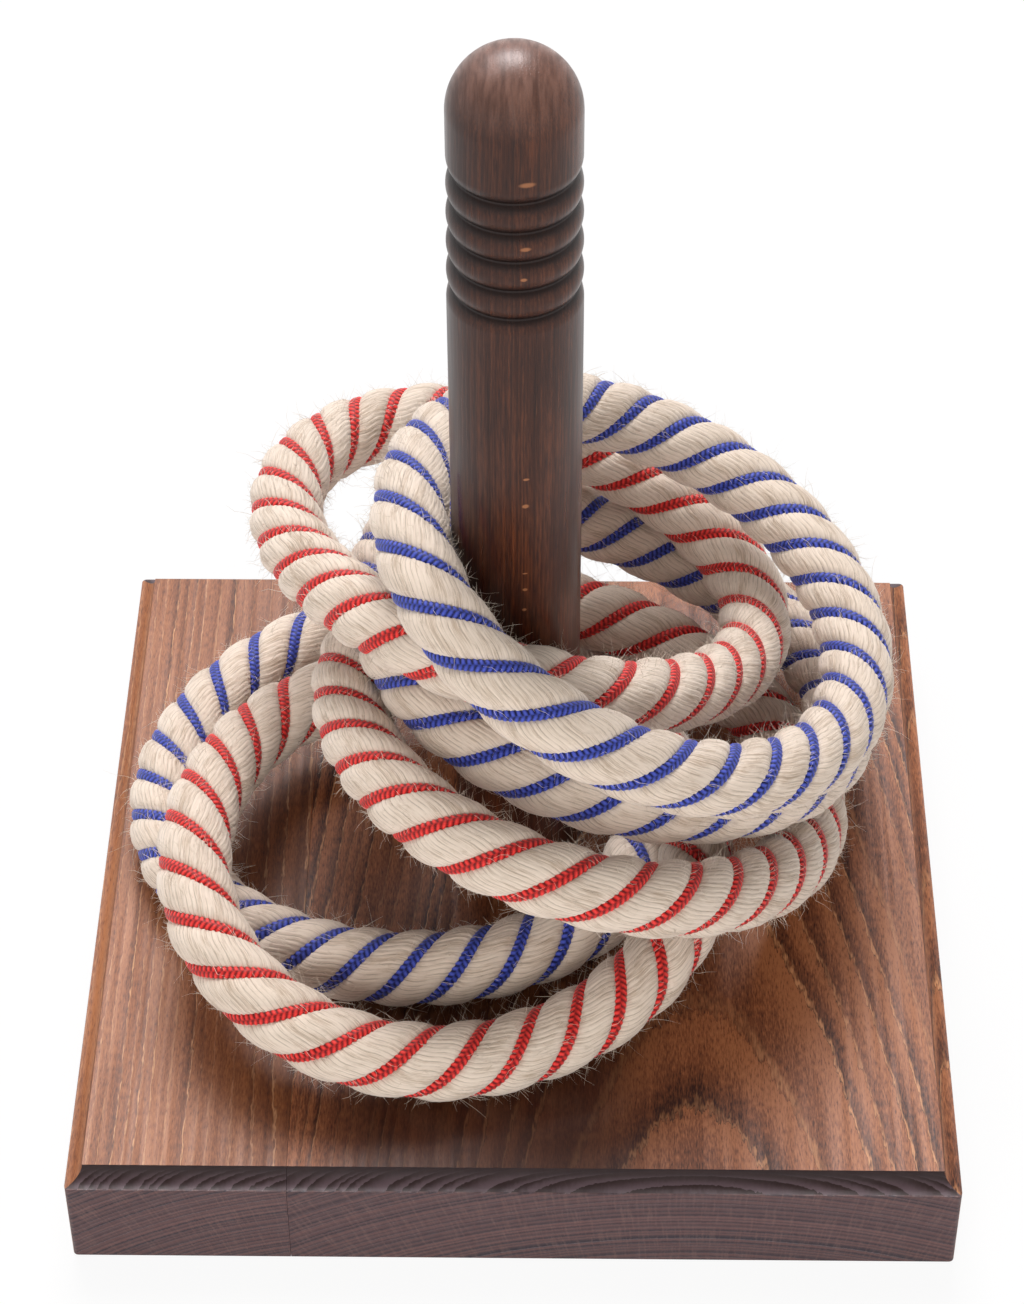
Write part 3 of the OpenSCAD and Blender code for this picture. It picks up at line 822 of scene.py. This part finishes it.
def make_post(material):
    """The post as one smooth turned skin, closed at its foot and crown."""
    profile = post_profile()
    turn = np.arange(POST_SIDES) * 2 * math.pi / POST_SIDES
    rows = len(profile)
    x = profile[:, :1] * np.cos(turn)[None, :]
    y = profile[:, :1] * np.sin(turn)[None, :]
    z = np.broadcast_to(profile[:, 1:] + BASE_T, x.shape)
    points = np.stack([x, y, z], -1).reshape(-1, 3)
    faces = []
    for row in range(rows - 1):
        for j in range(POST_SIDES):
            j2 = (j + 1) % POST_SIDES
            low, high = row * POST_SIDES, (row + 1) * POST_SIDES
            faces.append((low + j, low + j2, high + j2, high + j))
    crown = len(points)
    points = np.concatenate([points, [[0, 0, BASE_T + POST_H], [0, 0, BASE_T]]])
    last = (rows - 1) * POST_SIDES
    for j in range(POST_SIDES):
        j2 = (j + 1) % POST_SIDES
        faces.append((last + j, last + j2, crown))
        faces.append((j2, j, crown + 1))
    return mesh_object("post_turned", points, faces, material)


# The object

# Stain, from the pale line at the start of a year ring to the darkest streak
WIDE_STAIN = [(0.54, 0.25, 0.11), (0.38, 0.140, 0.055), (0.200, 0.064, 0.025), (0.032, 0.008, 0.004)]
NARROW_STAIN = [(0.56, 0.28, 0.13), (0.34, 0.125, 0.043), (0.205, 0.064, 0.020), (0.060, 0.017, 0.006)]
POST_STAIN = [(0.26, 0.09, 0.035), (0.140, 0.040, 0.014), (0.046, 0.012, 0.005), (0.012, 0.0035, 0.003)]
# How much of each kind of figure shows
WIDE_FIGURE = {"line": 1.0, "ring": 0.65, "streak": 0.7, "fibre": 1.6, "blotch": 0.9}
NARROW_FIGURE = {"line": 1.0, "ring": 0.4, "streak": 0.9, "fibre": 1.3, "blotch": 0.7}
POST_FIGURE = {"line": 0.15, "ring": 0.25, "streak": 0.7, "fibre": 0.7, "blotch": 0.9}

# Bands of darker colour, as the band function above takes them; the wide board's is partly darker
# stain and partly painted shade at the front, where the quoits cast their shadow
WIDE_STAIN_AND_SHADE_BAND = (-8, 28, 60, 0.82, 0.35)
NARROW_DARK_BAND = (-60, 0, 45, 0.3, 0.9)
POST_DARK_BAND = (-20, 8, 28, 0.4, 1.0)

wide_wood = wood(
    "wide_board_wood", pith=(52, -199.4), tilt=(0.0, -0.044), pitch=1.75, colors=WIDE_STAIN, along="Y",
    shares=WIDE_FIGURE, dark_band=WIDE_STAIN_AND_SHADE_BAND,
)
narrow_wood = wood(
    "narrow_board_wood", pith=(-32, -120), tilt=(0.02, 0.01), pitch=1.5, colors=NARROW_STAIN, along="Y",
    shares=NARROW_FIGURE, dark_band=NARROW_DARK_BAND,
)
post_wood = wood(
    "post_wood", pith=(110, 3), tilt=(0.02, 0.0), pitch=1.1, colors=POST_STAIN, along="Z",
    shares=POST_FIGURE, dark_band=POST_DARK_BAND,
)
jute_yarn = jute("jute_yarn", (0.75, 0.645, 0.545), (0.49, 0.38, 0.285))
jute_hair = jute("jute_hair", (0.76, 0.67, 0.57), (0.56, 0.46, 0.35), shaggy=True)
# Each cord's dye, then the darker colour that is painted shade between its crossings
cords = {
    "red": dyed_cord("red_braid", (0.60, 0.022, 0.018), (0.12, 0.003, 0.004)),
    "blue": dyed_cord("blue_braid", (0.038, 0.062, 0.38), (0.004, 0.006, 0.050)),
}
screw_zinc = zinc("screw_zinc")

for node, material in {
    "base_board_wide": wide_wood,
    "base_board_narrow": narrow_wood,
    "post_screw": screw_zinc,
}.items():
    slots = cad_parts[node].data.materials
    slots.clear()
    slots.append(material)

post_piece = make_post(post_wood)
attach(post_piece, "base")
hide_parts("post")

SEED = 7
rng = np.random.default_rng(SEED)
for number, (quoit, (size, middle)) in enumerate(zip(QUOITS, settle_quoits()), start=1):
    rope = make_rope(number, quoit, size, middle, jute_yarn, rng)
    cord = make_cord(number, quoit, size, middle, cords[quoit["cord"]])
    fuzz = make_fuzz(number, quoit, size, middle, jute_hair, rng)
    for piece, slot in ((rope, "jute"), (cord, quoit["cord"] + "_cord"), (fuzz, "jute")):
        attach(piece, f"quoit_{number}")
    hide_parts(f"quoit_{number}_rope")
    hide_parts(f"quoit_{number}_cord")

# Floor, light and camera

FLOOR_HALF = 40.0
FLOOR_DROP = 0.2 * MM
# Share of plain white in the floor where it is seen, so that it still keeps the object's shadow
FLOOR_WHITE = 0.92


def make_floor():
    """A wide floor that is white where it is seen and lights the object as a pale one does."""
    h = FLOOR_HALF
    material, tree, shader = new_material("pale_floor")
    corners = [(-h, -h, 0), (h, -h, 0), (h, h, 0), (-h, h, 0)]
    made = mesh_object("floor", corners, [(0, 1, 2, 3)], material)
    made.location.z = -FLOOR_DROP
    shader.inputs["Base Color"].default_value = (0.86, 0.86, 0.87, 1)
    shader.inputs["Roughness"].default_value = 0.9
    white = add(tree, "ShaderNodeEmission", {"Color": (1, 1, 1, 1), "Strength": 1.0})
    path = add(tree, "ShaderNodeLightPath").outputs
    seen = maths(tree, "MAXIMUM", path["Is Camera Ray"], path["Is Glossy Ray"])
    seen = maths(tree, "MAXIMUM", seen, path["Is Transmission Ray"])
    blend = add(tree, "ShaderNodeMixShader", {0: product(tree, seen, FLOOR_WHITE)})
    tree.links.new(shader.outputs[0], blend.inputs[1])
    tree.links.new(white.outputs[0], blend.inputs[2])
    tree.links.new(blend.outputs[0], tree.nodes["Material Output"].inputs["Surface"])


# Strength of the surround low down and overhead, and what is added where it meets the floor
SURROUND = (0.7, 0.24)
SKYLINE = 0.28
LOW_TINT = (0.93, 0.93, 1.0)
HIGH_TINT = (1.0, 0.93, 0.86)


def make_world():
    """A pale surround: white where it meets the floor, and dimmer overhead."""
    world = bpy.data.worlds.new("studio")
    bpy.context.scene.world = world
    world.use_nodes = True
    tree = world.node_tree
    sky = tree.nodes["Background"]
    height = split(tree, add(tree, "ShaderNodeTexCoord").outputs["Generated"])[2]
    tint = mix(tree, remap(tree, height, 0.0, 0.7), rgba(LOW_TINT), rgba(HIGH_TINT))
    skyline = remap(tree, height, 0.13, 0.30, 1.0, 0.0)
    strength = remap(tree, height, 0.1, 0.8, *SURROUND)
    strength = maths(tree, "ADD", strength, product(tree, skyline, SKYLINE))
    tree.links.new(mix(tree, skyline, tint, (1, 1, 1, 1)), sky.inputs["Color"])
    tree.links.new(strength, sky.inputs["Strength"])


def aim(made, place, right, up, back):
    """Puts an object at a place, with its own x, y and z along three directions."""
    axes = np.stack([right, up, back], axis=1)
    made.matrix_world = Matrix.Translation(place) @ Matrix(axes.tolist()).to_4x4()


def softbox(name, place, target, size, watts, color):
    """A soft rectangular lamp that faces its target."""
    data = bpy.data.lights.new(name, "AREA")
    data.shape = "RECTANGLE"
    data.size, data.size_y = size
    data.energy = watts
    data.color = color
    made = bpy.data.objects.new(name, data)
    bpy.context.scene.collection.objects.link(made)
    back = unit(np.array(place, float) - np.array(target, float))
    right = unit(np.cross((0, 0, 1), back))
    aim(made, place, right, np.cross(back, right), back)
    return made


# The camera that was fitted to the photograph: its place (mm), its pitch, yaw and roll (degrees), and its
# focal length in pixels of a frame that is FRAME_H high
CAMERA_AT = (11.093, -728.185, 821.716)
CAMERA_TURN = (43.996, 0.981, -0.341)
FOCAL_PX = 3539.335
FRAME_H = 1304
SENSOR_H = 36.0


def make_camera():
    """The fitted camera, turned up or down by its pitch, then by its yaw about Z, and rolled."""
    pitch, yaw, roll = (math.radians(a) for a in CAMERA_TURN)
    turn = np.array([[math.cos(yaw), -math.sin(yaw), 0], [math.sin(yaw), math.cos(yaw), 0], [0, 0, 1]])
    right = turn @ (1, 0, 0)
    up = turn @ (0, math.sin(pitch), math.cos(pitch))
    back = -(turn @ (0, math.cos(pitch), -math.sin(pitch)))
    data = bpy.data.cameras.new("camera")
    data.sensor_fit = "VERTICAL"
    data.sensor_height = SENSOR_H
    data.lens = FOCAL_PX * SENSOR_H / FRAME_H
    data.clip_start = 0.01
    made = bpy.data.objects.new("camera", data)
    bpy.context.scene.collection.objects.link(made)
    rolled_right = math.cos(roll) * right + math.sin(roll) * up
    rolled_up = math.cos(roll) * up - math.sin(roll) * right
    aim(made, [MM * c for c in CAMERA_AT], rolled_right, rolled_up, back)
    bpy.context.scene.camera = made


# Each lamp's place and target, its width and height (m), watts and colour
LAMPS = {
    "key": ((-0.30, 1.64, 2.32), (0, 0, 0.08), (2.3, 2.5), 26, (0.93, 0.95, 1.0)),
    "top": ((-0.14, 1.48, 2.40), (0, 0, 0.2), (1.2, 1.2), 58, (1.0, 0.97, 0.97)),
    "fill": ((-0.6, -2.6, 1.40), (0, 0, 0.1), (2.0, 1.6), 40, (1.0, 0.97, 0.93)),
    "gloss": ((-0.50, 1.20, 2.20), (0, 0, 0.3), (2.8, 1.6), 32, (1.0, 0.97, 0.98)),
}

make_floor()
make_world()
lamps = {name: softbox(name, *settings) for name, settings in LAMPS.items()}
# The fill gives no highlights, and the gloss lamp gives nothing else
lamps["fill"].visible_glossy = False
lamps["gloss"].visible_diffuse = False
make_camera()

bpy.context.scene.view_settings.view_transform = "Standard"
